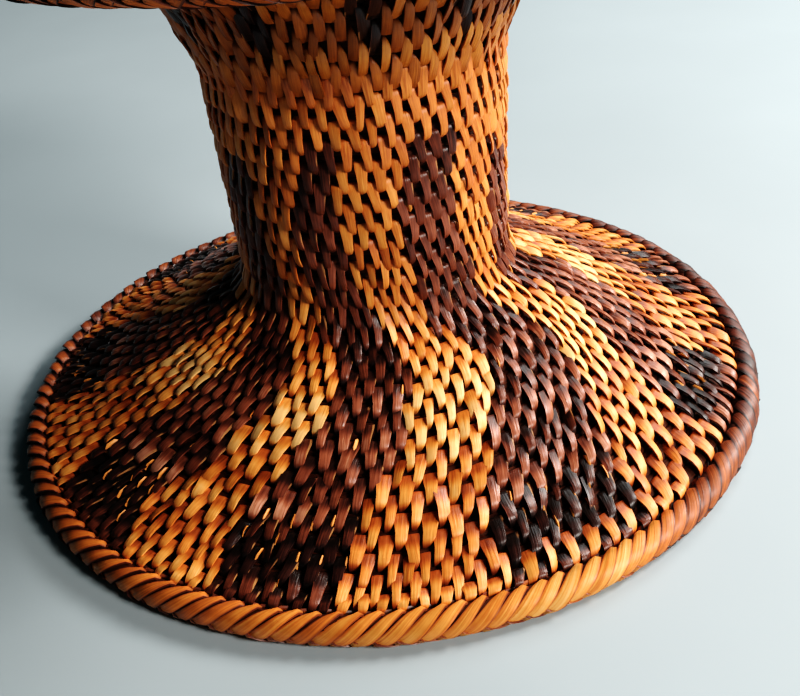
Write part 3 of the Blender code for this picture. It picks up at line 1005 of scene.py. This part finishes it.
discRows = floorWall["total"] / disc["row"]
discTurns = sewTurns(discRows - disc["stop"], discCount)
discSeam = {
    "turns": discTurns,
    "angles": discTurns * 2 * math.pi,
    "startAngle": 0.0,
    "rowLength": discLength,
    "half": np.full(len(discTurns), disc["pitch"] * disc["width"] / 2),
    "lean": np.full(len(discTurns), disc["lean"]),
    "row": disc["row"],
    "lift": 0.0,
    "turned": False,
    "limits": (0.0, floorWall["total"]),
}
discTones = np.clip(disc["tone"] + mottled(len(discTurns), disc["mottle"]), 0, 1)
discOuter = sew(strapStrip, floorWall, discSeam, 1)
discInner = sew(strapStrip, floorWall, discSeam, -1)
makePiece(
    "floorStitches", [batch(strapStrip, discOuter, discTones, disc["wear"], 0)], [shadedBowlSplint],
    ["bowl_floor_splints"],
)
makePiece(
    "floorCoil",
    [
        batch(strapStrip, discInner, discTones, disc["wear"], 0),
        makeCoil(floorWall, discSeam, 0.0, discRows - disc["coilStop"]),
    ],
    [shadedBowlSplint, dyedSplint, shadedCoilGrass], ["bowl_floor_coil"],
)

# Rims: a rod under wraps that slant over it and meet others that slant back
rim = {
    "half": 0.00147,
    "thickness": 0.0016,
    "tilt": 0.00045,  # one long edge over the next wrap
    "rod": 0.0034,
    "top": (126, -58, -7.0),  # degrees round the rod at the start and end, degrees along the rim
    "under": (-24, -135, 7.0),
    "inner": (-128, -220, -7.0),
    "raised": {"inner": -0.0002, "under": 0.0001, "top": 0.0},
    "steps": 14,  # along a wrap
    "skew": 0.02,
    "skewed": 0.25,  # how much of the wrap the skew takes
    "tuck": 0.09,  # share of the wrap over which its far end dips
    "tipShorter": 1.6,  # times shorter at the inner tip
    "dip": 0.0009,
    # places along the wrap from its inner tip, shares of the half width
    "fullness": ((0, 0.78), (0.05, 0.98), (0.14, 1.04), (0.45, 1.06), (0.75, 1.08), (1, 1.08)),
    "liftSpread": 0.00012,
    "tiltSpread": 0.00015,
    "widthSpread": 0.06,
    "placeSpread": 0.0012,  # radians round the basket
    "spacings": ((0, 2.6), (35, 2.6), (60, 3.3), (180, 3.3)),  # degrees from the front, degrees apart
    # Tones round the rim: darker to the left and palest at the lit front right, painted shade and light; the
    # dark run from about 38 to 100 degrees is the dyed wraps.
    "tones": (
        (-180, 0.34), (-120, 0.30), (-80, 0.44), (-60, 0.54), (-30, 0.60), (-5, 0.67), (15, 0.74),
        (27, 0.78), (33, 0.62), (38, 0.36), (60, 0.24), (75, 0.10), (100, 0.15), (140, 0.30), (180, 0.34),
    ),
    "mottle": {"runs": (5, 14), "spread": 0.10, "speckle": 0.04},
    "rodSteps": (120, 10),  # round the basket and round the rod
}
wrapStations = tuple((step / rim["steps"], 1.0, 0.0, 0.0) for step in range(rim["steps"] + 1))
wrapStrip = makeStrip("wrapStrip", wrapStations, rim["thickness"])


def wrapPlaces():
    degrees = np.linspace(-180, 180, 721)
    total = np.cumsum((degrees[1] - degrees[0]) / readTable(rim["spacings"], np.abs(degrees)))
    count = round(total[-1])
    return np.radians(np.interp(np.arange(count) / count * total[-1], total, degrees))


def wrapRing(ring, starts, part, raised):
    first, last, slide = part
    jitter = chance.normal(0, 1, (4, len(starts), 1))
    unit = wrapStrip["places"]
    across = unit[None, :, 0]
    along = unit[None, :, 1]
    tuck = np.clip(np.minimum(along * rim["tipShorter"], 1 - along) / rim["tuck"], 0, 1)
    fullness = readTable(rim["fullness"], along)
    along = along + across * rim["skew"] * np.clip(1 - along / rim["skewed"], 0, 1)
    rodAngle = np.radians(first + (last - first) * along)
    radius = ring["rod"] - rim["thickness"] / 2 + raised
    lift = unit[None, :, 2] + radius - rim["dip"] * (1 - tuck) ** 2 + jitter[0] * rim["liftSpread"]
    lift = lift + across * rim["tilt"] + jitter[3] * rim["tiltSpread"] * across
    slideLength = math.radians(slide) * ring["radius"]
    roundLength = math.radians(last - first) * radius
    size = math.hypot(slideLength, roundLength)
    half = ring["half"] * (1 + jitter[1] * rim["widthSpread"]) * fullness
    ringAngle = starts[:, None] + math.radians(slide) * along + jitter[2] * rim["placeSpread"]
    ringAngle = ringAngle - across * half * roundLength / size / ring["radius"]
    rodAngle = rodAngle + across * half * slideLength / size / radius
    ringRadius = ring["radius"] + lift * np.cos(rodAngle)
    height = np.maximum(ring["height"] + lift * np.sin(rodAngle), ring["ground"])
    return np.stack([ringRadius * np.sin(ringAngle), -ringRadius * np.cos(ringAngle), height], axis=-1)


def ringRod(name, ring, node):
    deselectAll()
    around, across = rim["rodSteps"]
    bpy.ops.mesh.primitive_torus_add(
        major_radius=ring["radius"], minor_radius=rim["rod"], major_segments=around, minor_segments=across,
        location=(0, 0, ring["height"]),
    )
    rod = bpy.context.object
    bpy.ops.object.transform_apply(location=True, rotation=True, scale=True)
    bpy.ops.object.shade_smooth()
    rod.name = name
    rod.data.materials.append(shadedCoilGrass)
    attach(rod, "root")
    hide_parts(node)


rims = {
    "foot": {"place": outline["footRim"], "thinner": 0.0, "tones": 1.0, "ground": 0.0001},
    # the bowl rim's wraps are made darker: painted shade on the shaded underside of the bowl's rim
    "bowl": {"place": outline["bowlRim"], "thinner": 0.0004, "tones": 0.85, "ground": -1.0},
}
for name, own in rims.items():
    starts = wrapPlaces()
    spread = np.degrees(np.gradient(starts)) / rim["spacings"][0][1]
    ring = {
        "radius": own["place"][0],
        "height": own["place"][1] + own["thinner"],
        "rod": outline["rimRadius"] - own["thinner"],
        "ground": own["ground"],  # no wrap reaches below it
        "half": rim["half"] * spread[:, None],
    }
    slide = math.radians(rim["top"][2])
    dyeAndShadeByPlace = readTable(rim["tones"], wrapDegrees(starts + slide / 2)) * own["tones"]
    batches = []
    for part, raised in rim["raised"].items():
        places = wrapRing(ring, starts + slide * (part != "top"), rim[part], raised)
        tones = np.clip(dyeAndShadeByPlace + mottled(len(starts), rim["mottle"]), 0, 1)
        batches.append(batch(wrapStrip, places, tones, 0.0, 0))
    makePiece(f"{name}RimWraps", batches, [bindingSplint], [f"{name}_rim_binding"])
    ringRod(f"{name}RimRod", ring, f"{name}_rim_rod")

# The knot that the coil starts with: a small ring wound round
knot = {
    "radius": outline["floorHole"],
    "height": 0.1190,
    "rod": 0.0021,
    "ground": -1.0,
    "half": 0.0009,
    "wraps": 14,
    "parts": ((170, -10, 20.0), (-10, -190, 20.0)),
    "tone": 0.4,  # of the darkest wrap
    "toneSpread": 0.3,
}
knotStarts = np.arange(knot["wraps"]) / knot["wraps"] * 2 * math.pi
knotBatches = []
for part in knot["parts"]:
    places = wrapRing(knot, knotStarts, part, 0.0)
    tones = chance.random(knot["wraps"]) * knot["toneSpread"] + knot["tone"]
    knotBatches.append(batch(wrapStrip, places, tones, 0.0, 0))
makePiece("startKnot", knotBatches, [bindingSplint], ["bowl_coil_start"])
print("basket made")

# The photograph's view
view = {
    "frame": (800, 696),
    "focal": 1000.0,
    "elevation": 35.06,
    "roll": -6.58,
    "distance": 0.34368,
    "spot": (389.2, 368.6),  # where the foot's centre falls
    "sensor": 36,
}


def placeCamera():
    low = math.radians(view["elevation"])
    spot = view["distance"] * Vector((0, -math.cos(low), math.sin(low)))
    ahead = -spot.normalized()
    right = Vector((1, 0, 0))
    up = right.cross(ahead)
    level = Matrix((right, -up, ahead))
    roll = math.radians(view["roll"])
    rolled = Matrix(((math.cos(roll), -math.sin(roll), 0), (math.sin(roll), math.cos(roll), 0), (0, 0, 1)))
    width, height = view["frame"]
    right, down = view["spot"][0] - width / 2, view["spot"][1] - height / 2
    way = Vector((right / view["focal"], down / view["focal"], 1))
    turned = Vector((0, 0, 1)).rotation_difference(way).to_matrix() @ rolled @ level
    camera = bpy.data.objects.new("camera", bpy.data.cameras.new("camera"))
    bpy.context.scene.collection.objects.link(camera)
    camera.data.sensor_fit = "HORIZONTAL"
    camera.data.sensor_width = view["sensor"]
    camera.data.lens = view["focal"] / width * view["sensor"]
    camera.data.clip_start = 0.01
    pose = Matrix((turned[0], -turned[1], -turned[2])).transposed().to_4x4()
    pose.translation = spot
    camera.matrix_world = pose
    bpy.context.scene.camera = camera


studio = {
    # degrees to the right of the view, degrees up, metres away, size, watts, colour
    "key": (50, 29, 1.5, (0.36, 0.30), 24.0, (1.0, 0.96, 0.91)),
    "window": (104, 35, 1.3, (0.4, 0.4), 23.0, (1.0, 0.97, 0.93)),
    "back": (140, 42, 1.5, (0.6, 0.6), 9.0, (0.97, 1.0, 1.0)),
    "target": (0.0, 0.0, 0.04),
    "room": (0.30, 0.90, 1.0),
    "roomStrength": 0.035,
    "contrast": ((0.03, 0.010), (0.08, 0.048), (0.20, 0.190), (0.50, 0.53)),
}


def placeLight(name):
    side, up, away, size, energy, color = studio[name]
    light = bpy.data.lights.new(name, "AREA")
    light.shape = "RECTANGLE"
    light.size = size[0]
    light.size_y = size[1]
    light.energy = energy
    light.color = color
    lamp = bpy.data.objects.new(name, light)
    bpy.context.scene.collection.objects.link(lamp)
    side, up = math.radians(side), math.radians(up)
    way = Vector((math.sin(side) * math.cos(up), -math.cos(side) * math.cos(up), math.sin(up)))
    lamp.location = Vector(studio["target"]) + way * away
    lamp.rotation_euler = way.to_track_quat("Z", "Y").to_euler()


placeCamera()
placeLight("key")
placeLight("window")
placeLight("back")
world = bpy.data.worlds.new("room")
bpy.context.scene.world = world
world.use_nodes = True
backdrop = world.node_tree.nodes["Background"]
backdrop.inputs[0].default_value = (*studio["room"], 1)
backdrop.inputs[1].default_value = studio["roomStrength"]
settings = bpy.context.scene.view_settings
settings.view_transform = "Standard"
settings.use_curve_mapping = True
contrast = settings.curve_mapping
for dim, shown in studio["contrast"]:
    contrast.curves[3].points.new(dim, shown)
contrast.update()

paleFloor = {
    "size": 6,
    "patch": (9.0, 3.0),
    "stops": ((0.3, (0.355, 0.412, 0.436)), (0.7, (0.375, 0.435, 0.460))),
    "roughness": 0.6,
}
deselectAll()
bpy.ops.mesh.primitive_plane_add(size=paleFloor["size"], location=(0, 0, 0))
ground = bpy.context.object
ground.name = "ground"
recipe = Recipe("paleFloor")
color = recipe.ramp(paleFloor["stops"], recipe.patches(*paleFloor["patch"]))
ground.data.materials.append(recipe.finish({"Base Color": color, "Roughness": paleFloor["roughness"]}))
